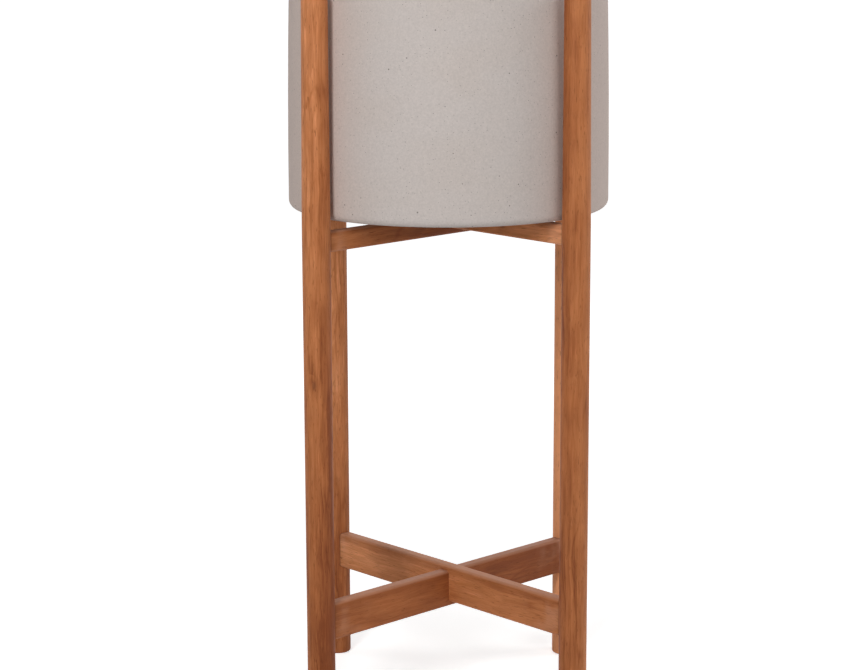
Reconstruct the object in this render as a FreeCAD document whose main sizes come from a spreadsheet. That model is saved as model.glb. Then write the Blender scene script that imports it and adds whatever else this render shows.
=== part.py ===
"""Round planter in a four-legged wooden stand, in millimetres.

Origin: on the floor, on the stand's own centre line. +Z is up and -Y is the front.
Four round legs hug the pot. Two cross rails under the pot carry it, and two deeper
cross rails tie the legs near the floor. Each pair of rails is let into one another
by cross laps, and each rail end has a tenon glued into its leg.
"""
import FreeCAD
import Part
import Sketcher
import math
import os
import re

SIZES = {
    # Pot
    "pot_radius": 174.5,
    "pot_draw_in": 5.0,
    "pot_height": 300.0,
    "pot_wall": 11.0,
    "pot_floor": 14.0,
    "pot_corner_radius": 8.0,
    "pot_inner_corner": 16.0,
    "rim_edge_radius": 3.0,
    "foot_ring_inset": 32.0,
    "foot_ring_width": 18.0,
    "foot_ring_height": 3.0,
    "drain_radius": 11.0,
    # Drain plug
    "plug_gap": 0.3,
    "plug_draw_in": 0.5,
    "plug_flange_radius": 17.0,
    "plug_flange_height": 3.0,
    "plug_flange_edge": 1.2,
    "plug_neck_radius": 3.5,
    "plug_neck_height": 5.0,
    "plug_grip_bulge": 3.0,
    # Legs
    "stand_turn_degrees": 45.0,
    "pot_clearance": 2.0,
    "leg_diameter": 30.0,
    "leg_top_diameter": 27.6,
    "leg_edge_radius": 2.5,
    "leg_above_seat": 237.3,
    "leg_taper_start": 1.0,
    # Rails
    "rail_thickness": 15.0,
    "rail_edge_radius": 3.5,
    "upper_rail_level": 526.5,
    "upper_rail_height": 21.5,
    "upper_cross_rise": 7.7,
    "lower_rail_level": 102.2,
    "lower_rail_height": 41.4,
    "lower_cross_rise": 5.5,
    # Joinery
    "tenon_cheek": 2.5,
    "upper_tenon_shoulder": 2.5,
    "lower_tenon_shoulder": 5.0,
    "tenon_depth": 18.0,
    "mortise_end_gap": 1.0,
    "glue_gap": 0.1,
    "cut_overrun": 5.0,
}

# The legs stand a quarter turn apart, anticlockwise seen from above, and take the under
# and the over rails by turns, so each rail joins the two legs that face each other.
LEGS = ("leg_back_right", "leg_back_left", "leg_front_left", "leg_front_right")
RAILS = ("under", "over")

# Two heights count as the same level when they differ by less than this.
SAME_LEVEL = 0.001

FOOT_RING_RADIUS = "(pot_radius - foot_ring_inset)"
LEG_RADIUS = "(leg_diameter / 2)"
LEG_TOP_RADIUS = "(leg_top_diameter / 2)"
LEG_INNER = "(pot_radius + pot_clearance)"
LEG_CENTRE = "(pot_radius + pot_clearance + leg_diameter / 2)"
SEAT = "(upper_rail_level + upper_cross_rise + upper_rail_height)"
LEG_HEIGHT = f"({SEAT} + leg_above_seat)"
TAPER_LEVEL = f"({SEAT} + leg_taper_start)"
TENON_RADIUS = "(rail_thickness / 2 - tenon_cheek)"
MORTISE_RADIUS = f"({TENON_RADIUS} + glue_gap)"
HALF_RAIL = "(rail_thickness / 2)"

# The underside of each rail. The over rail rides above the under one by its rise.
RAIL_LEVEL = {
    ("upper", "under"): "upper_rail_level",
    ("upper", "over"): "(upper_rail_level + upper_cross_rise)",
    ("lower", "under"): "lower_rail_level",
    ("lower", "over"): "(lower_rail_level + lower_cross_rise)",
}

doc = FreeCAD.newDocument("PlanterWithStand")
sheet = doc.addObject("Spreadsheet::Sheet", "Sizes")
for line, (alias, size) in enumerate(SIZES.items(), start=1):
    sheet.set(f"A{line}", alias)
    sheet.set(f"B{line}", str(size))
    sheet.setAlias(f"B{line}", alias)
doc.recompute()


def formula(text):
    """The formula with each size's name pointing at its cell."""
    return re.sub(r"[a-z]+(?:_[a-z]+)+", lambda word: f"Sizes.{word.group()}", text)


def number(text):
    """What a formula comes to, in millimetres."""
    return float(sheet.evalExpression(formula(text)))


def bind(item, target, text):
    item.setExpression(target, formula(text))


def new_body(name):
    body = doc.addObject("PartDesign::Body", name)
    body.Label = name
    return body


def new_sketch(body, name, role, offset=None):
    """A sketch on one of the body's own planes, moved along the plane's normal."""
    sketch = body.newObject("Sketcher::SketchObject", f"{body.Name}_{name}")
    plane = next(item for item in body.Origin.OriginFeatures if item.Role == role)
    sketch.AttachmentSupport = (plane, [""])
    sketch.MapMode = "FlatFace"
    if offset:
        bind(sketch, "AttachmentOffset.Base.z", offset)
    return sketch


def pin_down(sketch, geometry, point, x, y):
    """Holds one point of the sketch at the place that its two formulas give."""
    for kind, text, axis in (("DistanceX", x, -2), ("DistanceY", y, -1)):
        if text == "0":
            sketch.addConstraint(Sketcher.Constraint("PointOnObject", geometry, point, axis))
        elif text:
            held = Sketcher.Constraint(kind, -1, 1, geometry, point, number(text))
            row = sketch.addConstraint(held)
            bind(sketch, f"Constraints[{row}]", text)


def outline(sketch, corners):
    """A closed outline. A corner is (x, y), or (x, y, (centre x, centre y, turn)) where
    an arc leaves it: turn is 1 for an arc that runs anticlockwise and -1 for clockwise."""
    places = [(number(corner[0]), number(corner[1])) for corner in corners]
    edges = []
    for at, corner in enumerate(corners):
        start = places[at]
        end = places[(at + 1) % len(places)]
        if len(corner) == 2:
            line = Part.LineSegment(FreeCAD.Vector(*start, 0), FreeCAD.Vector(*end, 0))
            edges.append((sketch.addGeometry(line), 1, 2))
            continue
        centre_x, centre_y, turn = corner[2]
        centre = (number(centre_x), number(centre_y))
        radius = math.dist(centre, start)
        first, last = (start, end) if turn > 0 else (end, start)
        from_angle = math.atan2(first[1] - centre[1], first[0] - centre[0])
        to_angle = math.atan2(last[1] - centre[1], last[0] - centre[0])
        if to_angle <= from_angle:
            to_angle += math.tau
        whole = Part.Circle(FreeCAD.Vector(*centre, 0), FreeCAD.Vector(0, 0, 1), radius)
        arc = sketch.addGeometry(Part.ArcOfCircle(whole, from_angle, to_angle))
        edges.append((arc, 1, 2) if turn > 0 else (arc, 2, 1))
    for at, corner in enumerate(corners):
        edge, begin, _ = edges[at]
        before, _, finish = edges[at - 1]
        sketch.addConstraint(Sketcher.Constraint("Coincident", before, finish, edge, begin))
        pin_down(sketch, edge, begin, corner[0], corner[1])
        if len(corner) == 3:
            start = places[at]
            end = places[(at + 1) % len(places)]
            upright = abs(end[1] - start[1]) > abs(end[0] - start[0])
            centre_x, centre_y, _ = corner[2]
            if upright:
                pin_down(sketch, edge, 3, centre_x, "")
            else:
                pin_down(sketch, edge, 3, "", centre_y)


def circle(sketch, x, radius):
    """A circle on the sketch's horizontal axis."""
    place = FreeCAD.Vector(number(x), 0, 0)
    drawn = sketch.addGeometry(Part.Circle(place, FreeCAD.Vector(0, 0, 1), number(radius)))
    pin_down(sketch, drawn, 3, x, "0")
    row = sketch.addConstraint(Sketcher.Constraint("Radius", drawn, number(radius)))
    bind(sketch, f"Constraints[{row}]", radius)


def slot(sketch, radius, low, high):
    """An upright slot with round ends, as a cutter of that radius leaves it."""
    outline(sketch, [
        (radius, f"({low} + {radius})"),
        (radius, f"({high} - {radius})", ("0", f"({high} - {radius})", 1)),
        (f"-{radius}", f"({high} - {radius})"),
        (f"-{radius}", f"({low} + {radius})", ("0", f"({low} + {radius})", 1)),
    ])


def revolve(body, name, corners):
    """A half section turned once round the upright axis."""
    section = new_sketch(body, f"{name}_section", "XZ_Plane")
    outline(section, corners)
    turned = body.newObject("PartDesign::Revolution", f"{body.Name}_{name}")
    turned.Profile = section
    turned.ReferenceAxis = (section, ["V_Axis"])
    turned.Angle = 360
    return turned


def pad(body, name, section, length, middle=False):
    grown = body.newObject("PartDesign::Pad", f"{body.Name}_{name}")
    grown.Profile = section
    grown.Midplane = middle
    bind(grown, "Length", length)
    return grown


def pocket_through(body, name, section, middle=False):
    cut = body.newObject("PartDesign::Pocket", f"{body.Name}_{name}")
    cut.Profile = section
    cut.Midplane = middle
    cut.Type = "ThroughAll"
    return cut


def circle_edges(shape, level):
    """The names of the round edges that lie flat at one level."""
    found = []
    for at, edge in enumerate(shape.Edges, start=1):
        reach = max(abs(edge.BoundBox.ZMin - level), abs(edge.BoundBox.ZMax - level))
        if reach < SAME_LEVEL and edge.isClosed():
            found.append(f"Edge{at}")
    return found


def make_pot():
    """Drawn-in cylinder with an open mouth, a rounded lip, a foot ring, and a drain hole
    with a recess round it that the plug's flange lies in."""
    body = new_body("planter_pot")
    underside = "foot_ring_height"
    floor = "(foot_ring_height + pot_floor)"
    recess_radius = "(plug_flange_radius + plug_gap)"
    recess_level = f"({floor} - plug_flange_height)"
    outer_start = "(foot_ring_height + pot_corner_radius)"
    inner_start = "(foot_ring_height + pot_floor + pot_inner_corner)"
    lip = "(pot_height - rim_edge_radius)"
    mouth = "(pot_radius - pot_draw_in)"
    inside = "(pot_radius - pot_wall)"
    # Each side is one long arc, upright where it leaves the bottom corner.
    outer_sweep = f"((({lip} - {outer_start})^2 + pot_draw_in^2) / (2 * pot_draw_in))"
    inner_sweep = f"((({lip} - {inner_start})^2 + pot_draw_in^2) / (2 * pot_draw_in))"
    revolve(body, "wall", [
        ("drain_radius", underside),
        (f"({FOOT_RING_RADIUS} - foot_ring_width)", underside),
        (f"({FOOT_RING_RADIUS} - foot_ring_width)", "0"),
        (FOOT_RING_RADIUS, "0"),
        (FOOT_RING_RADIUS, underside),
        ("(pot_radius - pot_corner_radius)", underside,
         ("(pot_radius - pot_corner_radius)", outer_start, 1)),
        ("pot_radius", outer_start, (f"(pot_radius - {outer_sweep})", outer_start, 1)),
        (mouth, lip, (f"({mouth} - rim_edge_radius)", lip, 1)),
        (f"({mouth} - rim_edge_radius)", "pot_height"),
        (f"({mouth} - pot_wall + rim_edge_radius)", "pot_height",
         (f"({mouth} - pot_wall + rim_edge_radius)", lip, 1)),
        (f"({mouth} - pot_wall)", lip, (f"({inside} - {inner_sweep})", inner_start, -1)),
        (inside, inner_start, (f"({inside} - pot_inner_corner)", inner_start, -1)),
        (f"({inside} - pot_inner_corner)", floor),
        (recess_radius, floor),
        (recess_radius, recess_level),
        ("drain_radius", recess_level),
    ])
    bind(body, "Placement.Base.z", SEAT)
    return body


def make_plug():
    """Tapered stopper whose flange lies flush in the pot's floor, with a knob to pull it
    by. Its own origin is where the stem meets the flange."""
    body = new_body("drain_plug")
    stem = "(drain_radius - plug_gap)"
    stem_length = "(pot_floor - plug_flange_height)"
    flange_top = "plug_flange_height"
    grip_low = "(plug_flange_height + plug_neck_height)"
    grip_high = f"({grip_low} + 2 * plug_grip_bulge)"
    revolve(body, "stopper", [
        ("0", f"-{stem_length}"),
        (f"({stem} - plug_draw_in)", f"-{stem_length}"),
        (stem, "0"),
        ("plug_flange_radius", "0"),
        ("plug_flange_radius", f"({flange_top} - plug_flange_edge)",
         ("(plug_flange_radius - plug_flange_edge)", f"({flange_top} - plug_flange_edge)", 1)),
        ("(plug_flange_radius - plug_flange_edge)", flange_top),
        ("plug_neck_radius", flange_top),
        ("plug_neck_radius", grip_low, ("plug_neck_radius", f"({grip_low} + plug_grip_bulge)", 1)),
        ("plug_neck_radius", grip_high),
        ("0", grip_high),
    ])
    bind(body, "Placement.Base.z", f"({SEAT} + foot_ring_height + {stem_length})")
    return body


def turn_to(body, quarters):
    """Turns a sub-part about the upright axis to the stand's own angle and some quarter
    turns more, and gives back the formula of that angle."""
    azimuth = f"(stand_turn_degrees + {quarters} * 90)"
    body.Placement.Rotation = FreeCAD.Rotation(FreeCAD.Vector(0, 0, 1), number(azimuth))
    bind(body, "Placement.Rotation.Angle", azimuth)
    return azimuth


def make_leg(name, quarters):
    """Round leg. Above the seat its outer side leans in and its inner side stays upright.
    The leg's own +X points away from the pot."""
    body = new_body(name)
    pair = RAILS[quarters % len(RAILS)]
    foot = new_sketch(body, "foot", "XY_Plane")
    circle(foot, "0", LEG_RADIUS)
    pad(body, "post", foot, TAPER_LEVEL)

    shoulder = new_sketch(body, "shoulder", "XY_Plane", TAPER_LEVEL)
    circle(shoulder, "0", LEG_RADIUS)
    top = new_sketch(body, "top", "XY_Plane", LEG_HEIGHT)
    circle(top, f"({LEG_TOP_RADIUS} - {LEG_RADIUS})", LEG_TOP_RADIUS)
    taper = body.newObject("PartDesign::AdditiveLoft", f"{name}_taper")
    taper.Profile = shoulder
    taper.Sections = [top]

    for storey in ("upper", "lower"):
        level = RAIL_LEVEL[storey, pair]
        low = f"({level} + {storey}_tenon_shoulder - glue_gap)"
        high = f"({level} + {storey}_rail_height - {storey}_tenon_shoulder + glue_gap)"
        bottom = f"(tenon_depth + mortise_end_gap - {LEG_RADIUS})"
        mouth = new_sketch(body, f"{storey}_mortise_mouth", "YZ_Plane", bottom)
        slot(mouth, MORTISE_RADIUS, low, high)
        sharp = pocket_through(body, f"{storey}_mortise", mouth)
    doc.recompute()

    ends = circle_edges(sharp.Shape, 0) + circle_edges(sharp.Shape, number(LEG_HEIGHT))
    round_over = body.newObject("PartDesign::Fillet", f"{name}_edges")
    round_over.Base = (sharp, ends)
    bind(round_over, "Radius", "leg_edge_radius")

    azimuth = turn_to(body, quarters)
    bind(body, "Placement.Base.x", f"{LEG_CENTRE} * cos({azimuth})")
    bind(body, "Placement.Base.y", f"{LEG_CENTRE} * sin({azimuth})")
    return body


def make_rail(storey, pair):
    """Flat rail on edge, with its long edges eased, its ends hollowed to sit on the round
    legs, a tenon at each end and a lap notch at mid length. Its own +X runs along it."""
    body = new_body(f"{storey}_rail_{pair}")
    height = f"{storey}_rail_height"
    eased = "rail_edge_radius"
    inner = f"({HALF_RAIL} - {eased})"
    section = new_sketch(body, "section", "YZ_Plane")
    outline(section, [
        (f"-{inner}", "0"),
        (inner, "0", (inner, eased, 1)),
        (HALF_RAIL, eased),
        (HALF_RAIL, f"({height} - {eased})", (inner, f"({height} - {eased})", 1)),
        (inner, height),
        (f"-{inner}", height, (f"-{inner}", f"({height} - {eased})", 1)),
        (f"-{HALF_RAIL}", f"({height} - {eased})"),
        (f"-{HALF_RAIL}", eased, (f"-{inner}", eased, 1)),
    ])
    pad(body, "bar", section, f"2 * {LEG_CENTRE}", middle=True)

    leg_outlines = new_sketch(body, "leg_outlines", "XY_Plane")
    circle(leg_outlines, LEG_CENTRE, f"({LEG_RADIUS} + glue_gap)")
    circle(leg_outlines, f"-{LEG_CENTRE}", f"({LEG_RADIUS} + glue_gap)")
    pocket_through(body, "hollow_ends", leg_outlines, middle=True)

    tongue = new_sketch(body, "tongue", "YZ_Plane")
    shoulder = f"{storey}_tenon_shoulder"
    slot(tongue, TENON_RADIUS, shoulder, f"({height} - {shoulder})")
    pad(body, "tenons", tongue, f"2 * ({LEG_INNER} + tenon_depth)", middle=True)

    lap = f"(({height} - {storey}_cross_rise) / 2)"
    side = f"({HALF_RAIL} + glue_gap)"
    low, high = ("-cut_overrun", lap)
    if pair == "under":
        low, high = (f"({height} - {lap})", f"({height} + cut_overrun)")
    notch = new_sketch(body, "notch", "XZ_Plane")
    outline(notch, [(f"-{side}", low), (side, low), (side, high), (f"-{side}", high)])
    pocket_through(body, "lap", notch, middle=True)

    turn_to(body, RAILS.index(pair))
    bind(body, "Placement.Base.z", RAIL_LEVEL[storey, pair])
    return body


def check(bodies):
    """Every object has to be whole, and every sub-part a single valid solid."""
    for item in doc.Objects:
        if "Invalid" in item.State or "Error" in item.State:
            raise RuntimeError(f"{item.Name} failed: {item.State}")
    for body in bodies:
        shape = body.Shape
        if shape.isNull() or not shape.isValid() or len(shape.Solids) != 1:
            raise RuntimeError(f"{body.Label} is not one valid solid")


bodies = [make_pot(), make_plug()]
bodies += [make_leg(name, quarters) for quarters, name in enumerate(LEGS)]
bodies += [make_rail(storey, pair) for storey, pair in RAIL_LEVEL]
doc.recompute()
check(bodies)

os.makedirs("parts", exist_ok=True)
for body in bodies:
    body.Shape.exportStep(f"parts/{body.Label}.step")
    box = body.Shape.BoundBox
    print(f"{body.Label}: volume {body.Shape.Volume / 1000:.1f} cm3, "
          f"x {box.XMin:.1f}..{box.XMax:.1f}, y {box.YMin:.1f}..{box.YMax:.1f}, "
          f"z {box.ZMin:.1f}..{box.ZMax:.1f}")
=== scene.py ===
"""Finishes and stage for a clay planter in a four-legged wooden stand.

Every board is cut from its own place in a log, so its grain runs through it as solid wood:
along the faces, round the edges and out at the ends. The pot is matte clay with specks in
its body. Patterns are laid out in millimetres in each piece's own directions.
"""

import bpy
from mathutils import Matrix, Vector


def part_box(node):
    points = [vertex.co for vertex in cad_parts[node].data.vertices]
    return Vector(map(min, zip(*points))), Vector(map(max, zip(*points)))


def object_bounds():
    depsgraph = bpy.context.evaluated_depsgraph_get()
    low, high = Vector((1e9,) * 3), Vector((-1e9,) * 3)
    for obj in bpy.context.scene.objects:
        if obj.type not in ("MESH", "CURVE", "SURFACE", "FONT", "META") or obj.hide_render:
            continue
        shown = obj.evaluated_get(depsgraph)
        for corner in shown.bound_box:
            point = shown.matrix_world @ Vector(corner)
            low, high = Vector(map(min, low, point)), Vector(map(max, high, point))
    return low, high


bl_info = {
    "name": "Planter and stand",
    "version": (1, 0, 0),
    "blender": (4, 5, 0),
    "location": "View3D > Sidebar > Planter",
    "description": "Finishes a clay planter and its wooden stand, and lights them",
    "category": "Material",
}

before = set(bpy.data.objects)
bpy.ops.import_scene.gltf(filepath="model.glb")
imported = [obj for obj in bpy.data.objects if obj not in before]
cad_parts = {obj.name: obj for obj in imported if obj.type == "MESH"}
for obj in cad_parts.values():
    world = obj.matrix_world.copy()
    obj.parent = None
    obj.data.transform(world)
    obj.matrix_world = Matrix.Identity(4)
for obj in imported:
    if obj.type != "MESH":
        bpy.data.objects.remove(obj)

import bmesh
import bpy
import math
from bpy.props import FloatProperty, FloatVectorProperty, PointerProperty
from mathutils import Matrix, Vector
from typing import NamedTuple

CAD_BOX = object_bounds()

# Patterns are laid out in millimetres, and Blender's own unit is the metre.
MILLIMETRE = 0.001
QUARTER_TURN = math.radians(90)

LEGS = ("leg_front_left", "leg_front_right", "leg_back_left", "leg_back_right")
RAILS = ("upper_rail_under", "upper_rail_over", "lower_rail_under", "lower_rail_over")
RAIL_TURN = {"under": math.radians(45), "over": math.radians(135)}


class Board(NamedTuple):
    """How one board was cut from the log, in millimetres along its own directions.

    Tone darkens the whole board, partly as the board's own tone and partly as painted light and shade
    for how brightly the lamps light it. The painted shade slope says how much lighter it grows in a
    metre each way: painted shade on a leg's side towards the pot and towards its foot, on the upper
    rails under the pot, and near the crossing of the lower rails.
    Figure is how strongly its grain shows.
    """
    pith: tuple
    along: float
    figure: float
    tone: float
    fade: tuple
    knot: tuple


# Tones and painted shade slopes: partly each board's own tone, partly painted light and shade.
BOARDS = {
    "leg_front_left": Board((44, -38, 0), 0, 1.0, 0.49, (-9, 0, 0.8), (-3, -14, 388)),
    "leg_front_right": Board((-52, 30, 0), 1700, 0.8, 0.1, (9.5, 0, -0.04), (9, 11, 640)),
    "leg_back_left": Board((30, 46, 0), 3400, 1.1, 0.24, (0, 0, 0.75), (-5, -13, 185)),
    "leg_back_right": Board((-36, -48, 0), 5100, 0.8, -0.8, (0, 0, 0), (-9, 9, 300)),
    "upper_rail_under": Board((26, 60, 0), 6400, 0.6, 0.5, (0, 0, -3.0), (0, 6, 120)),
    "upper_rail_over": Board((-30, 52, 0), 7300, 0.8, 0.14, (0, 0, -2.8), (0, 6, -90)),
    "lower_rail_under": Board((58, 34, 0), 8200, 0.55, 0.36, (0, 0, -0.9), (8, 5, -60)),
    "lower_rail_over": Board((-40, -44, 0), 9100, 0.8, -0.04, (0, 0, 0.7), (-9, -6, 82)),
}


class Waves(NamedTuple):
    """The waves of a noise: their length in millimetres across and along, and their finer layers."""
    across: float
    along: float
    detail: float = 2.0
    roughness: float = 0.5


class Ramp(NamedTuple):
    """A change from one level to another, between two readings of a pattern or a distance."""
    start: float
    end: float
    before: float = 0.0
    after: float = 1.0

    def times(self, size):
        return self._replace(start=self.start * size, end=self.end * size)

    def beyond(self, edge):
        return self._replace(start=edge + self.start, end=edge + self.end)


# The noises of the wood, from the wandering of the whole log to the play of light on its fibres.
WOOD_WAVES = {
    "wander": Waves(70, 420, detail=1),
    "ruffle": Waves(12, 70),
    "fading": Waves(24, 120),
    "weave": Waves(25, 60, detail=1),
    "band": Waves(18, 380),
    "patch": Waves(10, 60),
    "line": Waves(2.2, 70),
    "flow": Waves(24, 220, detail=1),
    "fibre": Waves(0.6, 24),
    "pore": Waves(0.9, 9, detail=1),
    "lean": Waves(13, 24, detail=1),
    "bloom": Waves(30, 30),
}
# How far the rings wander and the finer figure sways, in millimetres.
RING_WANDER = (26, 26, 0)
FIGURE_SWAY = (6, 6, 0)

# A ring darkens slowly through its year and ends at once, and comes and goes along the board.
RING_DARKENS = Ramp(0.1, 0.9)
RING_ENDS = Ramp(0.9, 1.0, 1, 0)
FADING = Ramp(0.4, 0.65)
# A ring's count from the pith, and how many rings' widths a knot and the ruffle shift it.
RING_SHIFT = {"count": 1.0, "swirl": 1.7, "ruffle": 1.5}

# The flow has two sides of different tone, and a dark vein along the border between them.
BORDER = 0.5
VEIN = Ramp(0, 0.025, 1, 0)
SIDE = Ramp(0.48, 0.52)
# Pores open at the peaks of their noise, and light plays over the lean of the fibres.
PORE = Ramp(0.63, 0.75)
LIGHT_PLAY = Ramp(0.25, 0.75, 0.93, 1.06)

# A knot's swirl and heart, in shares of its size. Lengths along the board count for less, so
# that knots are drawn out that way.
SWIRL = Ramp(0, 1, 1, 0)
HEART = Ramp(0.1, 0.42, 1, 0)
KNOT_STRETCH = (1, 1, 0.5)
# Pin knots: how far apart they are and their radius in millimetres, and the share that shows.
PIN_SPACING = 24
PIN_RADIUS = 1.6
PINS_KEPT = 0.4
PIN_STRETCH = (1, 1, 0.4)

# What each part of the figure adds to the depth of the wood's colour, its height and its dullness.
# The depth's mean stays where it is when a board's figure is made stronger or fainter.
WOOD_DEPTH = {"ring": 0.2, "band": 0.5, "patch": 0.5, "line": 0.5, "fibre": 0.55, "vein": 0.2,
              "side": 0.05, "swirl": 0.1}
WOOD_HEIGHT = {"fibre": 0.45, "line": 0.3, "ring": 0.35, "pore": -0.8, "heart": -0.4}
WOOD_DULLNESS = {"fibre": 0.16, "pore": 0.2, "ring": -0.06}
MEAN_WOOD_DEPTH = 1.1
MEAN_WOOD_DULLNESS = 0.08
WOOD_BUMP = 0.7

# Depths at which one colour of the wood gives way to the next, and how strongly spots show on it.
WOOD_COLOURS = {"light": Ramp(0.56, 1.06), "middle": Ramp(0.96, 1.36), "dark": Ramp(1.24, 1.66)}
WOOD_SPOTS = {"pore": ("pore", 0.5), "pin": ("knot", 0.6), "heart": ("knot", 0.45)}

# How far a leg's end faces up or down where its grain drinks more oil.
END_GRAIN = Ramp(0.8, 1.0, 0, 0.45)

# Age and painted shade on a rail: oil and painted shade in its joints, and a bloom beside them, in
# millimetres from the leg.
JOINT_OIL_AND_SHADE = Ramp(-0.4, 2.4, 0.75, 0)
BLOOM_REACH = Ramp(4, 60, 1, 0)
BLOOM_PATCHES = Ramp(0.45, 0.7, 0, 0.22)
# Painted shade a little below a rail's top, and a painted sheen on its top edge, in shares of its
# height. The painted sheen is full on the softened edge, which is in millimetres.
TOP_PAINTED_SHADE = Ramp(0.1, 0.3, 0.35, 0)
SOFTENED_EDGE = 0.5
SHEEN_SHARE = 0.08
TOP_SHEEN = 0.3

# The clay's noises, and what they and its specks add to its shade, its height and its dullness.
CLAY_WAVES = {"cloud": Waves(90, 60), "grain": Waves(2, 2), "sand": Waves(5, 5)}
CLAY_SHADE = {"grain": 0.32, "sand": 0.08}
CLAY_HEIGHT = {"grain": 0.5, "sand": 0.6, "grit": -0.8, "dots": -0.4}
CLAY_DULLNESS = {"grain": 0.12, "grit": -0.2}
CLAY_SPOTS = {"dots": ("speck", 0.7), "grit": ("speck", 0.8)}
LEAST_CLAY_SHADE = 0.81
MEAN_CLAY_DULLNESS = 0.06
CLAY_BUMP = 0.6
CLOUDS = Ramp(0.35, 0.65)
# The clay turns warmer to its left and right, in millimetres from its middle.
FLANKS = Ramp(55, 165)
# Besides its grit the clay has finer dots, in shares of the grit's spacing and radius.
GRIT_KEPT = 0.5
DOTS_KEPT = 0.85
DOT_SPACING_SHARE = 0.32
DOT_RADIUS_SHARE = 0.52

# The smallest speck, as a share of the largest, and where a speck fades, in shares of its radius.
SMALLEST_SPECK_SHARE = 0.25
SPECK_EDGE = Ramp(0.55, 1.0, 1, 0)

# Clay dust in patches on the rubber's own fine skin.
RUBBER_WAVES = {"dust": Waves(6, 6, detail=5, roughness=0.6), "skin": Waves(0.6, 0.6)}
RUBBER_DULLNESS = {"dust": 0.4, "skin": 0.1}
MEAN_RUBBER_DULLNESS = 0.05
RUBBER_BUMP = 0.4
RUBBER_RELIEF = 0.1 * MILLIMETRE
DUSTED = Ramp(0.5, 0.72, 0, 0.5)

# The floor is a disc, whose lift to white is full beyond the lamps' reach, in metres.
FLOOR_RADIUS = 30
FLOOR_SIDES = 96
LAMPS_REACH = (0.6, 2.2)
FLOOR_ROUGHNESS = 0.9
FLOOR_GLOSS = 0.1
WHITE = (1, 1, 1)

# The camera's sensor in millimetres, and how far it sees in metres.
SENSOR_WIDTH = 36
CAMERA_SIGHT = 100


class Softbox(NamedTuple):
    """Where a softbox stands, in degrees round from the front and in metres, and how large it is."""
    azimuth: float
    distance: float
    height: float
    size: tuple


SOFTBOXES = {
    "key": Softbox(-23, 1.6, 1.3, (0.4, 0.8)),
    "fill": Softbox(40, 1.6, 1.2, (1.0, 0.8)),
    "left": Softbox(-108, 1.7, 1.2, (0.6, 1.0)),
    "right": Softbox(100, 1.7, 1.0, (0.6, 1.0)),
    "back": Softbox(180, 2.0, 1.5, (0.9, 0.5)),
    "top": Softbox(0, 0.4, 2.6, (1.2, 1.2)),
}


def screen(red, green, blue):
    """A colour given as it shows on a screen, 0 to 255, as the linear values that shaders take."""
    shares = [value / 255 for value in (red, green, blue)]
    return [s / 12.92 if s <= 0.04045 else ((s + 0.055) / 1.055) ** 2.4 for s in shares]


def colour_property(name, description, shown):
    return FloatVectorProperty(name=name, description=description, default=screen(*shown),
                               subtype="COLOR", size=3, min=0, max=1)


def power_property(name, description, watts):
    return FloatProperty(name=name, description=description, default=watts, min=0, unit="POWER")


def relief_property(description, metres):
    return FloatProperty(name="Relief", description=description, default=metres, min=0, max=0.002,
                         unit="LENGTH")


def share_property(name, description, share):
    return FloatProperty(name=name, description=description, default=share, min=0, max=1)


class WoodFinish(bpy.types.PropertyGroup):
    pale: colour_property("Pale wood", "Wood from near the bark", (230, 156, 108))
    light: colour_property("Light wood", "Early wood between the rings", (191, 120, 73))
    middle: colour_property("Middle tone", "The board's overall tone", (168, 99, 55))
    dark: colour_property("Dark wood", "Late wood at the rings", (128, 66, 31))
    pore: colour_property("Pore", "Oil gathered in the open pores", (84, 42, 18))
    knot: colour_property("Knot", "Heart of a small knot", (74, 38, 22))
    ring_spacing: FloatProperty(name="Ring spacing", description="Width of a growth ring in millimetres",
                                default=7.0, min=1, max=20)
    knot_size: FloatProperty(name="Knot size", description="Reach of a knot's swirl in millimetres",
                             default=9, min=1, max=40)
    roughness: share_property("Roughness", "Dryness of the oiled surface", 0.6)
    gloss: share_property("Gloss", "How strongly the oiled surface reflects", 0.22)
    # The dust colour also paints the sheen on the rails' top edges.
    dust: colour_property("Dust", "Pale dust and rubbed oil on tops and beside joints", (216, 168, 140))
    relief: relief_property("Depth of the grain", 0.00015)


class ClayFinish(bpy.types.PropertyGroup):
    body: colour_property("Clay", "Overall colour of the clay", (195, 186, 181))
    cloud: colour_property("Clouding", "Warmer colour that clouds the clay", (194, 184, 178))
    flank: colour_property("Flanks", "Warmer colour to its left and right", (196, 180, 172))
    speck: colour_property("Specks", "Dark grit in the clay", (84, 74, 68))
    speck_spacing: FloatProperty(name="Speck spacing", description="Millimetres between specks",
                                 default=9.5, min=2, max=40)
    speck_radius: FloatProperty(name="Speck radius", description="Largest speck's radius in millimetres",
                                default=1.1, min=0.1, max=3)
    roughness: share_property("Roughness", "Dryness of the matte surface", 0.82)
    relief: relief_property("Depth of the pits and the sandy grain", 0.0002)


class RubberFinish(bpy.types.PropertyGroup):
    body: colour_property("Rubber", "Colour of the rubber", (44, 43, 42))
    dust: colour_property("Dust", "Clay dust on the rubber", (110, 104, 98))
    roughness: share_property("Roughness", "Dullness of the rubber", 0.6)


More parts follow.
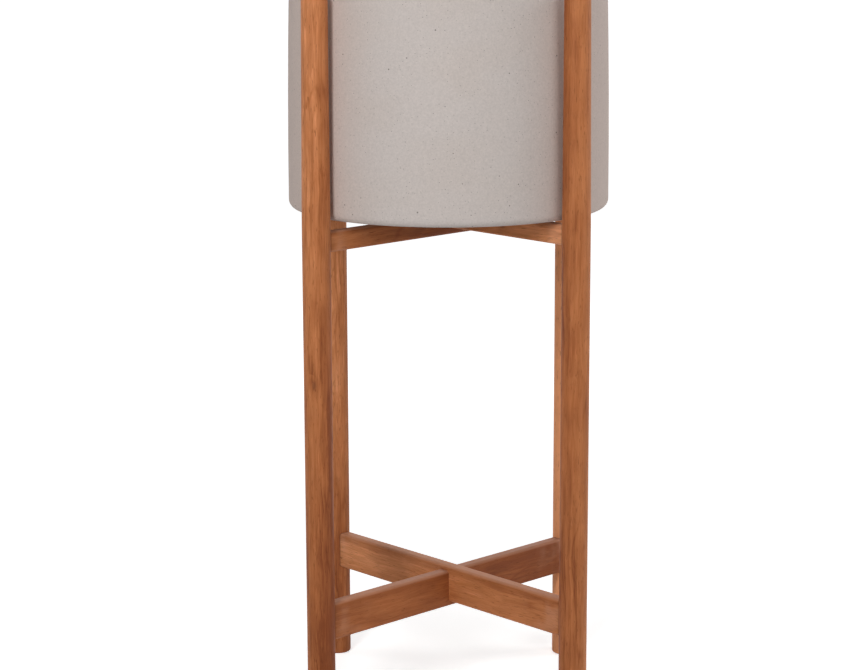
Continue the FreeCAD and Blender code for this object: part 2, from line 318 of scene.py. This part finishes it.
class Studio(bpy.types.PropertyGroup):
    distance: FloatProperty(name="Camera distance", description="Level distance to the planter's axis",
                            unit="LENGTH", default=2.5836, min=0.5)
    height: FloatProperty(name="Camera height", description="Height of the camera above the floor",
                          unit="LENGTH", default=0.9344, min=0)
    circle: FloatProperty(name="Camera place", description="How far round the planter the camera stands",
                          subtype="ANGLE", default=0.0185)
    heading: FloatProperty(name="Heading", description="Turn of the camera away from the planter's axis",
                           subtype="ANGLE", default=0.0080)
    pitch: FloatProperty(name="Pitch", description="How far the camera looks down",
                         subtype="ANGLE", default=0.1993)
    roll: FloatProperty(name="Roll", description="How far the camera leans to the side",
                        subtype="ANGLE", default=-0.0030)
    lens: FloatProperty(name="Lens", description="Focal length on a 36 mm wide sensor",
                        default=99.64, min=10)
    key_power: power_property("Key light", "Power of the softbox at the front left", 15.6)
    fill_power: power_property("Fill light", "Power of the softbox at the front right", 6.8)
    left_power: power_property("Left side light", "Power of the softbox on the left", 4.0)
    right_power: power_property("Right side light", "Power of the softbox on the right", 8.5)
    back_power: power_property("Back light", "Power of the softbox behind", 8.0)
    top_power: power_property("Top light", "Power of the softbox overhead", 6.0)
    room: FloatProperty(name="Room light", description="Strength of the light from all round",
                        default=0.03, min=0)
    floor: colour_property("Floor", "Colour of the floor", (240, 240, 240))
    floor_glow: share_property("Floor lift", "How far the seen floor is lifted to white", 0.6)


class Wiring:
    """Adds nodes to one tree. A value given for a socket is either a constant or an output."""

    def __init__(self, tree):
        self.tree = tree

    def feed(self, socket, value):
        if isinstance(value, bpy.types.NodeSocket):
            self.tree.links.new(value, socket)
        elif socket.type == "RGBA" and len(value) == 3:
            socket.default_value = (*value, 1)
        else:
            socket.default_value = value

    def add(self, kind, settings=None, **inputs):
        made = self.tree.nodes.new(kind)
        for name, value in (settings or {}).items():
            setattr(made, name, value)
        for name, value in inputs.items():
            self.feed(made.inputs[name.replace("_", " ")], value)
        return made

    def math(self, operation, *values):
        made = self.add("ShaderNodeMath", {"operation": operation})
        for socket, value in zip(made.inputs, values):
            self.feed(socket, value)
        return made.outputs[0]

    def vector(self, operation, *values):
        made = self.add("ShaderNodeVectorMath", {"operation": operation})
        for socket, value in zip(made.inputs, values):
            self.feed(socket, value)
        return made.outputs["Value" if operation in ("LENGTH", "DOT_PRODUCT") else "Vector"]

    def noise(self, place, waves):
        """A noise's level, Fac, and three levels of their own as its Color."""
        stretched = self.vector("DIVIDE", place, (waves.across, waves.across, waves.along))
        return self.add("ShaderNodeTexNoise", Vector=stretched, Scale=1.0, Detail=waves.detail,
                        Roughness=waves.roughness).outputs

    def remap(self, value, ramp, smooth=True):
        """The level that a ramp has at a value, held before its start and after its end."""
        kind = "SMOOTHSTEP" if smooth else "LINEAR"
        made = self.add("ShaderNodeMapRange", {"interpolation_type": kind}, Value=value,
                        From_Min=ramp.start, From_Max=ramp.end, To_Min=ramp.before, To_Max=ramp.after)
        return made.outputs["Result"]

    def blend(self, share, first, second, kind="MIX"):
        made = self.add("ShaderNodeMix", {"data_type": "RGBA", "blend_type": kind})
        colours = [socket for socket in made.inputs if socket.type == "RGBA"]
        self.feed(made.inputs[0], share)
        self.feed(colours[0], first)
        self.feed(colours[1], second)
        return next(socket for socket in made.outputs if socket.type == "RGBA")

    def shade(self, colour, level):
        """Makes a colour lighter or darker by a level."""
        grey = self.add("ShaderNodeCombineColor", Red=level, Green=level, Blue=level)
        return self.blend(1.0, colour, grey.outputs["Color"], kind="MULTIPLY")

    def spot(self, colour, parts, spots, finish):
        """Lays each part that spots names over a colour, in the finish's colour and strength for it."""
        for part, (name, strength) in spots.items():
            share = self.math("MULTIPLY", parts[part], strength)
            colour = self.blend(share, colour, getattr(finish, name)[:])
        return colour

    def total(self, parts, weights):
        """The parts of a pattern added up, each by its weight."""
        total = 0.0
        for part, weight in weights.items():
            total = self.math("MULTIPLY_ADD", parts[part], weight, total)
        return total

    def seen(self):
        """1 where the camera looks, directly or by way of a shiny or clear surface, and else 0."""
        rays = self.add("ShaderNodeLightPath").outputs
        seen = self.math("MAXIMUM", rays["Is Camera Ray"], rays["Is Glossy Ray"])
        return self.math("MAXIMUM", seen, rays["Is Transmission Ray"])


def new_material(name):
    """A material with an empty tree, and the shader and output that every finish ends in."""
    material = bpy.data.materials.new(name)
    material.use_nodes = True
    material.node_tree.nodes.clear()
    wiring = Wiring(material.node_tree)
    shader = wiring.add("ShaderNodeBsdfPrincipled")
    output = wiring.add("ShaderNodeOutputMaterial")
    wiring.feed(output.inputs["Surface"], shader.outputs["BSDF"])
    return material, wiring, shader


def own_directions(wiring, centre, turn=(0, 0, 0)):
    """The point's place in millimetres from the piece's centre, in the piece's directions."""
    place = wiring.add("ShaderNodeTexCoord").outputs["Object"]
    mapping = wiring.add("ShaderNodeMapping", {"vector_type": "TEXTURE"}, Vector=place,
                         Location=centre, Rotation=turn, Scale=[MILLIMETRE] * 3)
    return mapping.outputs["Vector"]


def texture(wiring, shader, height, relief, strength):
    """Raises and sinks the surface by a pattern, so that it catches the light."""
    bump = wiring.add("ShaderNodeBump", Strength=strength, Distance=relief, Height=height)
    wiring.feed(shader.inputs["Normal"], bump.outputs["Normal"])


def dress(node, material):
    """Gives a CAD node one material all over."""
    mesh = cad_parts[node].data
    mesh.materials.clear()
    mesh.materials.append(material)


def specks(wiring, place, spacing, radius, kept):
    """Round specks of mixed size, about spacing apart. Kept is the share of them that show."""
    scattered = wiring.add("ShaderNodeTexVoronoi", {"feature": "F1"}, Scale=1.0,
                           Vector=wiring.vector("DIVIDE", place, [spacing] * 3))
    dice = wiring.add("ShaderNodeSeparateColor", Color=scattered.outputs["Color"])
    reach = wiring.math("MULTIPLY", scattered.outputs["Distance"], spacing)
    sizes = Ramp(1 - kept, 1, SMALLEST_SPECK_SHARE * radius, radius)
    size = wiring.remap(dice.outputs["Red"], sizes, smooth=False)
    inside = wiring.remap(wiring.math("DIVIDE", reach, size), SPECK_EDGE)
    shown = wiring.math("GREATER_THAN", dice.outputs["Red"], 1 - kept)
    return wiring.math("MULTIPLY", inside, shown)


def wood_knot(wiring, finish, given):
    """The swirl of the grain round a board's knot, and the knot's heart."""
    off_knot = wiring.vector("SUBTRACT", given["Place"], given["Knot"])
    reach = wiring.vector("LENGTH", wiring.vector("MULTIPLY", off_knot, KNOT_STRETCH))
    return {"swirl": wiring.remap(reach, SWIRL.times(finish.knot_size)),
            "heart": wiring.remap(reach, HEART.times(finish.knot_size))}


def wood_ring(wiring, finish, given, swirl, fading):
    """Growth rings. The log isn't straight: its rings wander, and swell round a knot."""
    wander = wiring.noise(given["Place"], WOOD_WAVES["wander"])["Color"]
    bent = wiring.vector("MULTIPLY_ADD", wander, RING_WANDER, given["Place"])
    off_pith = wiring.vector("MULTIPLY", wiring.vector("SUBTRACT", bent, given["Pith"]), (1, 1, 0))
    shifts = {"count": wiring.math("DIVIDE", wiring.vector("LENGTH", off_pith), finish.ring_spacing),
              "swirl": swirl,
              "ruffle": wiring.noise(given["Place"], WOOD_WAVES["ruffle"])["Fac"]}
    phase = wiring.math("FRACT", wiring.total(shifts, RING_SHIFT))
    year = wiring.math("MULTIPLY", wiring.remap(phase, RING_DARKENS), wiring.remap(phase, RING_ENDS))
    return wiring.math("MULTIPLY", year, fading)


def wood_figure(wiring, place, fading):
    """Bands and patches of colour, fine lines, fibres, short pores and a dark vein, all in waves."""
    weave = wiring.noise(place, WOOD_WAVES["weave"])["Color"]
    waved = wiring.vector("MULTIPLY_ADD", weave, FIGURE_SWAY, place)
    parts = {name: wiring.noise(waved, WOOD_WAVES[name])["Fac"]
             for name in ("band", "patch", "line", "flow", "fibre", "pore")}
    parts["pore"] = wiring.remap(parts["pore"], PORE)
    border = wiring.math("ABSOLUTE", wiring.math("SUBTRACT", parts["flow"], BORDER))
    parts["vein"] = wiring.math("MULTIPLY", wiring.remap(border, VEIN), fading)
    parts["side"] = wiring.remap(parts["flow"], SIDE)
    return parts


def wood_colour(wiring, finish, given, parts):
    """The colour at a board's depth of tone, with its pores and knots."""
    figure = wiring.math("SUBTRACT", wiring.total(parts, WOOD_DEPTH), MEAN_WOOD_DEPTH)
    board = wiring.math("MULTIPLY_ADD", figure, given["Figure"], MEAN_WOOD_DEPTH)
    depth = wiring.math("ADD", board, given["Tone"])
    colour = finish.pale[:]
    for name, ramp in WOOD_COLOURS.items():
        colour = wiring.blend(wiring.remap(depth, ramp), colour, getattr(finish, name)[:])
    colour = wiring.spot(colour, parts, WOOD_SPOTS, finish)
    # Light plays across the grain where the fibres lean.
    lean = wiring.noise(given["Place"], WOOD_WAVES["lean"])["Fac"]
    return wiring.shade(colour, wiring.remap(lean, LIGHT_PLAY, smooth=False))


def solid_wood(finish):
    """A node group that cuts wood from a log whose grain runs along Z, in millimetres."""
    group = bpy.data.node_groups.new("Solid wood", "ShaderNodeTree")
    for name, kind in (("Place", "Vector"), ("Pith", "Vector"), ("Knot", "Vector"),
                       ("Figure", "Float"), ("Tone", "Float")):
        group.interface.new_socket(name, in_out="INPUT", socket_type=f"NodeSocket{kind}")
    for name, kind in (("Colour", "Color"), ("Height", "Float"), ("Dullness", "Float")):
        group.interface.new_socket(name, in_out="OUTPUT", socket_type=f"NodeSocket{kind}")
    wiring = Wiring(group)
    given = wiring.add("NodeGroupInput").outputs
    place = given["Place"]
    fading = wiring.remap(wiring.noise(place, WOOD_WAVES["fading"])["Fac"], FADING)
    parts = wood_knot(wiring, finish, given) | wood_figure(wiring, place, fading)
    parts["ring"] = wood_ring(wiring, finish, given, parts["swirl"], fading)
    parts["pin"] = specks(wiring, wiring.vector("MULTIPLY", place, PIN_STRETCH),
                          PIN_SPACING, PIN_RADIUS, PINS_KEPT)
    result = wiring.add("NodeGroupOutput")
    wiring.feed(result.inputs["Colour"], wood_colour(wiring, finish, given, parts))
    wiring.feed(result.inputs["Height"], wiring.total(parts, WOOD_HEIGHT))
    wiring.feed(result.inputs["Dullness"], wiring.total(parts, WOOD_DULLNESS))
    return group


def cut_board(wiring, finish, board, place):
    """The outputs of the solid wood where a board was cut from the log."""
    group = bpy.data.node_groups.get("Solid wood") or solid_wood(finish)
    across, through, up = board.knot
    # Painted light and shade: the board grows lighter or darker along its painted shade slope.
    painted_shading = wiring.vector("DOT_PRODUCT", place, [MILLIMETRE * share for share in board.fade])
    return wiring.add("ShaderNodeGroup", {"node_tree": group},
                      Place=wiring.vector("ADD", place, (0, 0, board.along)),
                      Pith=board.pith, Knot=(across, through, up + board.along),
                      Figure=board.figure, Tone=wiring.math("SUBTRACT", board.tone, painted_shading)).outputs


def oil_end_grain(wiring, finish, colour):
    """Darkens a leg's ends, where the grain drinks more oil."""
    facing = wiring.add("ShaderNodeNewGeometry").outputs["Normal"]
    upward = wiring.add("ShaderNodeSeparateXYZ", Vector=facing).outputs["Z"]
    end = wiring.remap(wiring.math("ABSOLUTE", upward), END_GRAIN)
    return wiring.blend(end, colour, finish.dark[:])


def age_rail(wiring, finish, place, tall, colour):
    """Darkens the joints with oil and painted shade, blooms the wood beside them, and paints shade below
    a rail's top and a sheen on its top edge.
    """
    low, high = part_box("leg_back_right")
    leg = (low + high) / 2
    reach = math.hypot(leg.x, leg.y) / MILLIMETRE
    radius = (high.x - low.x) / 2 / MILLIMETRE
    ends = wiring.vector("ABSOLUTE", wiring.vector("MULTIPLY", place, (0, 1, 1)))
    away = wiring.vector("LENGTH", wiring.vector("SUBTRACT", ends, (0, 0, reach)))
    # Oil in the joint, and painted shade where the rail meets the leg.
    oil_and_shade_at_joint = wiring.remap(away, JOINT_OIL_AND_SHADE.beyond(radius))
    patches = wiring.remap(wiring.noise(place, WOOD_WAVES["bloom"])["Fac"], BLOOM_PATCHES)
    bloom = wiring.math("MULTIPLY", patches, wiring.remap(away, BLOOM_REACH.beyond(radius)))
    down = wiring.math("ADD", wiring.add("ShaderNodeSeparateXYZ", Vector=place).outputs["X"], tall / 2)
    # Painted shade a little below the top, where the rounded edge turns from the light, in the dark
    # wood's colour.
    painted_top_shade = wiring.remap(down, TOP_PAINTED_SHADE.times(tall))
    # Painted sheen on the rail's top edge, in the dust's colour.
    painted_top_sheen = wiring.remap(down, Ramp(SOFTENED_EDGE, SHEEN_SHARE * tall, TOP_SHEEN, 0))
    for share, over in ((painted_top_shade, finish.dark), (bloom, finish.dust), (painted_top_sheen, finish.dust),
                        (oil_and_shade_at_joint, finish.pore)):
        colour = wiring.blend(share, colour, over[:])
    return colour


def finish_board(node, turn):
    """Oils one board of the stand, with the grain along the direction that turn gives it."""
    finish = bpy.context.scene.planter_wood
    low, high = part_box(node)
    centre = (low + high) / 2
    if node in LEGS:
        centre.z = low.z
    material, wiring, shader = new_material(f"oiled_{node}")
    place = own_directions(wiring, centre, turn)
    wood = cut_board(wiring, finish, BOARDS[node], place)
    if node in LEGS:
        colour = oil_end_grain(wiring, finish, wood["Colour"])
    else:
        colour = age_rail(wiring, finish, place, (high.z - low.z) / MILLIMETRE, wood["Colour"])
    rough = wiring.math("ADD", wood["Dullness"], finish.roughness - MEAN_WOOD_DULLNESS)
    wiring.feed(shader.inputs["Base Color"], colour)
    wiring.feed(shader.inputs["Roughness"], rough)
    wiring.feed(shader.inputs["Specular IOR Level"], finish.gloss)
    texture(wiring, shader, wood["Height"], finish.relief, WOOD_BUMP)
    dress(node, material)


class PLANTER_OT_finish_legs(bpy.types.Operator):
    """Oil the four round legs, with the grain upright"""
    bl_idname = "planter.finish_legs"
    bl_label = "Finish legs"

    def execute(self, context):
        for leg in LEGS:
            finish_board(leg, (0, 0, 0))
        return {"FINISHED"}


class PLANTER_OT_finish_rails(bpy.types.Operator):
    """Oil the crossed rails, with the grain along each rail"""
    bl_idname = "planter.finish_rails"
    bl_label = "Finish rails"

    def execute(self, context):
        for rail in RAILS:
            along = RAIL_TURN[rail.rsplit("_", 1)[-1]]
            finish_board(rail, (0, QUARTER_TURN, along))
        return {"FINISHED"}


class PLANTER_OT_finish_pot(bpy.types.Operator):
    """Give the pot its matte clay body, clouded and speckled"""
    bl_idname = "planter.finish_pot"
    bl_label = "Finish pot"

    def execute(self, context):
        finish = context.scene.planter_clay
        low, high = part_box("planter_pot")
        material, wiring, shader = new_material("speckled_clay")
        place = own_directions(wiring, (low + high) / 2)
        parts = {name: wiring.noise(place, waves)["Fac"] for name, waves in CLAY_WAVES.items()}
        parts["grit"] = specks(wiring, place, finish.speck_spacing, finish.speck_radius, GRIT_KEPT)
        parts["dots"] = specks(wiring, place, DOT_SPACING_SHARE * finish.speck_spacing,
                               DOT_RADIUS_SHARE * finish.speck_radius, DOTS_KEPT)
        across = wiring.vector("LENGTH", wiring.vector("MULTIPLY", place, (1, 0, 0)))
        clouds = wiring.remap(parts["cloud"], CLOUDS)
        colour = wiring.blend(clouds, finish.body[:], finish.cloud[:])
        colour = wiring.blend(wiring.remap(across, FLANKS), colour, finish.flank[:])
        level = wiring.math("ADD", wiring.total(parts, CLAY_SHADE), LEAST_CLAY_SHADE)
        colour = wiring.spot(wiring.shade(colour, level), parts, CLAY_SPOTS, finish)
        rough = wiring.math("ADD", wiring.total(parts, CLAY_DULLNESS),
                            finish.roughness - MEAN_CLAY_DULLNESS)
        wiring.feed(shader.inputs["Base Color"], colour)
        wiring.feed(shader.inputs["Roughness"], rough)
        texture(wiring, shader, wiring.total(parts, CLAY_HEIGHT), finish.relief, CLAY_BUMP)
        dress("planter_pot", material)
        return {"FINISHED"}


class PLANTER_OT_finish_plug(bpy.types.Operator):
    """Give the drain plug its dull rubber, dusted with clay"""
    bl_idname = "planter.finish_plug"
    bl_label = "Finish plug"

    def execute(self, context):
        finish = context.scene.planter_rubber
        low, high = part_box("drain_plug")
        material, wiring, shader = new_material("dull_rubber")
        place = own_directions(wiring, (low + high) / 2)
        parts = {name: wiring.noise(place, waves)["Fac"] for name, waves in RUBBER_WAVES.items()}
        parts["dust"] = wiring.remap(parts["dust"], DUSTED)
        rough = wiring.math("ADD", wiring.total(parts, RUBBER_DULLNESS),
                            finish.roughness - MEAN_RUBBER_DULLNESS)
        wiring.feed(shader.inputs["Base Color"],
                    wiring.blend(parts["dust"], finish.body[:], finish.dust[:]))
        wiring.feed(shader.inputs["Roughness"], rough)
        texture(wiring, shader, parts["skin"], RUBBER_RELIEF, RUBBER_BUMP)
        dress("drain_plug", material)
        return {"FINISHED"}


def make_floor(studio):
    """A wide pale floor, lifted to white for the camera. It keeps the planter's shadow."""
    shape = bmesh.new()
    bmesh.ops.create_circle(shape, cap_ends=True, segments=FLOOR_SIDES, radius=FLOOR_RADIUS)
    mesh = bpy.data.meshes.new("floor")
    shape.to_mesh(mesh)
    shape.free()
    floor = bpy.data.objects.new("floor", mesh)
    bpy.context.scene.collection.objects.link(floor)
    material, wiring, shader = new_material("studio_floor")
    wiring.feed(shader.inputs["Base Color"], studio.floor[:])
    wiring.feed(shader.inputs["Roughness"], FLOOR_ROUGHNESS)
    wiring.feed(shader.inputs["Specular IOR Level"], FLOOR_GLOSS)
    # The lamps light the floor round the planter, and farther off it needs more of the lift.
    away = wiring.vector("LENGTH", wiring.add("ShaderNodeTexCoord").outputs["Object"])
    needed = wiring.remap(away, Ramp(*LAMPS_REACH, studio.floor_glow, 1))
    lift = wiring.math("MULTIPLY", wiring.seen(), needed)
    glow = wiring.add("ShaderNodeEmission", Color=WHITE, Strength=lift)
    both = wiring.add("ShaderNodeAddShader")
    wiring.feed(both.inputs[0], shader.outputs["BSDF"])
    wiring.feed(both.inputs[1], glow.outputs["Emission"])
    output = next(node for node in material.node_tree.nodes if node.type == "OUTPUT_MATERIAL")
    wiring.feed(output.inputs["Surface"], both.outputs["Shader"])
    mesh.materials.append(material)


def make_room(studio):
    """Even light from all round, which the camera sees as white."""
    world = bpy.data.worlds.new("studio_room")
    world.use_nodes = True
    world.node_tree.nodes.clear()
    wiring = Wiring(world.node_tree)
    strength = wiring.remap(wiring.seen(), Ramp(0, 1, studio.room, 1), smooth=False)
    background = wiring.add("ShaderNodeBackground", Color=WHITE, Strength=strength)
    output = wiring.add("ShaderNodeOutputWorld")
    wiring.feed(output.inputs["Surface"], background.outputs["Background"])
    bpy.context.scene.world = world


def make_softbox(name, softbox, power):
    """A softbox that faces the planter's middle."""
    lamp = bpy.data.lights.new(f"{name}_softbox", "AREA")
    lamp.shape = "RECTANGLE"
    lamp.size, lamp.size_y = softbox.size
    lamp.energy = power
    azimuth = math.radians(softbox.azimuth)
    box = bpy.data.objects.new(f"{name}_softbox", lamp)
    box.location = (math.sin(azimuth) * softbox.distance, -math.cos(azimuth) * softbox.distance,
                    softbox.height)
    middle = sum(CAD_BOX, Vector()) / 2
    box.rotation_euler = (middle - box.location).to_track_quat("-Z", "Y").to_euler()
    bpy.context.scene.collection.objects.link(box)


def make_camera(studio):
    """The camera, at the photograph's place and angle."""
    camera = bpy.data.cameras.new("camera")
    camera.lens = studio.lens
    camera.sensor_width = SENSOR_WIDTH
    camera.clip_end = CAMERA_SIGHT
    viewer = bpy.data.objects.new("camera", camera)
    stand = Matrix.Rotation(studio.circle, 4, "Z") @ Matrix.Translation((0, -studio.distance, 0))
    aim = Matrix.Rotation(studio.heading, 4, "Z") @ Matrix.Rotation(QUARTER_TURN - studio.pitch, 4, "X")
    lean = Matrix.Rotation(studio.roll, 4, "Z")
    viewer.matrix_world = Matrix.Translation((0, 0, studio.height)) @ stand @ aim @ lean
    bpy.context.scene.collection.objects.link(viewer)
    bpy.context.scene.camera = viewer


class PLANTER_OT_set_stage(bpy.types.Operator):
    """Set the floor, the room light, the softboxes and the camera"""
    bl_idname = "planter.set_stage"
    bl_label = "Set stage"

    def execute(self, context):
        studio = context.scene.planter_studio
        make_floor(studio)
        make_room(studio)
        for name, softbox in SOFTBOXES.items():
            make_softbox(name, softbox, getattr(studio, f"{name}_power"))
        make_camera(studio)
        context.scene.view_settings.view_transform = "Standard"
        return {"FINISHED"}


class PLANTER_PT_panel(bpy.types.Panel):
    """The steps in the order that they are taken"""
    bl_label = "Planter and stand"
    bl_idname = "PLANTER_PT_panel"
    bl_space_type = "VIEW_3D"
    bl_region_type = "UI"
    bl_category = "Planter"

    def draw(self, context):
        for step in STEPS:
            self.layout.operator(step.bl_idname)
        for name, kind in SETTINGS.items():
            settings = getattr(context.scene, name)
            for field in kind.__annotations__:
                self.layout.prop(settings, field)


SETTINGS = {"planter_wood": WoodFinish, "planter_clay": ClayFinish, "planter_rubber": RubberFinish,
            "planter_studio": Studio}
STEPS = (PLANTER_OT_finish_legs, PLANTER_OT_finish_rails, PLANTER_OT_finish_pot,
         PLANTER_OT_finish_plug, PLANTER_OT_set_stage)


def register():
    for kind in (*SETTINGS.values(), *STEPS, PLANTER_PT_panel):
        bpy.utils.register_class(kind)
    for name, kind in SETTINGS.items():
        setattr(bpy.types.Scene, name, PointerProperty(type=kind))


def unregister():
    for name in SETTINGS:
        delattr(bpy.types.Scene, name)
    for kind in (PLANTER_PT_panel, *reversed(STEPS), *SETTINGS.values()):
        bpy.utils.unregister_class(kind)


def main():
    register()
    bpy.ops.planter.finish_legs()
    bpy.ops.planter.finish_rails()
    bpy.ops.planter.finish_pot()
    bpy.ops.planter.finish_plug()
    bpy.ops.planter.set_stage()


if __name__ == "__main__":
    main()
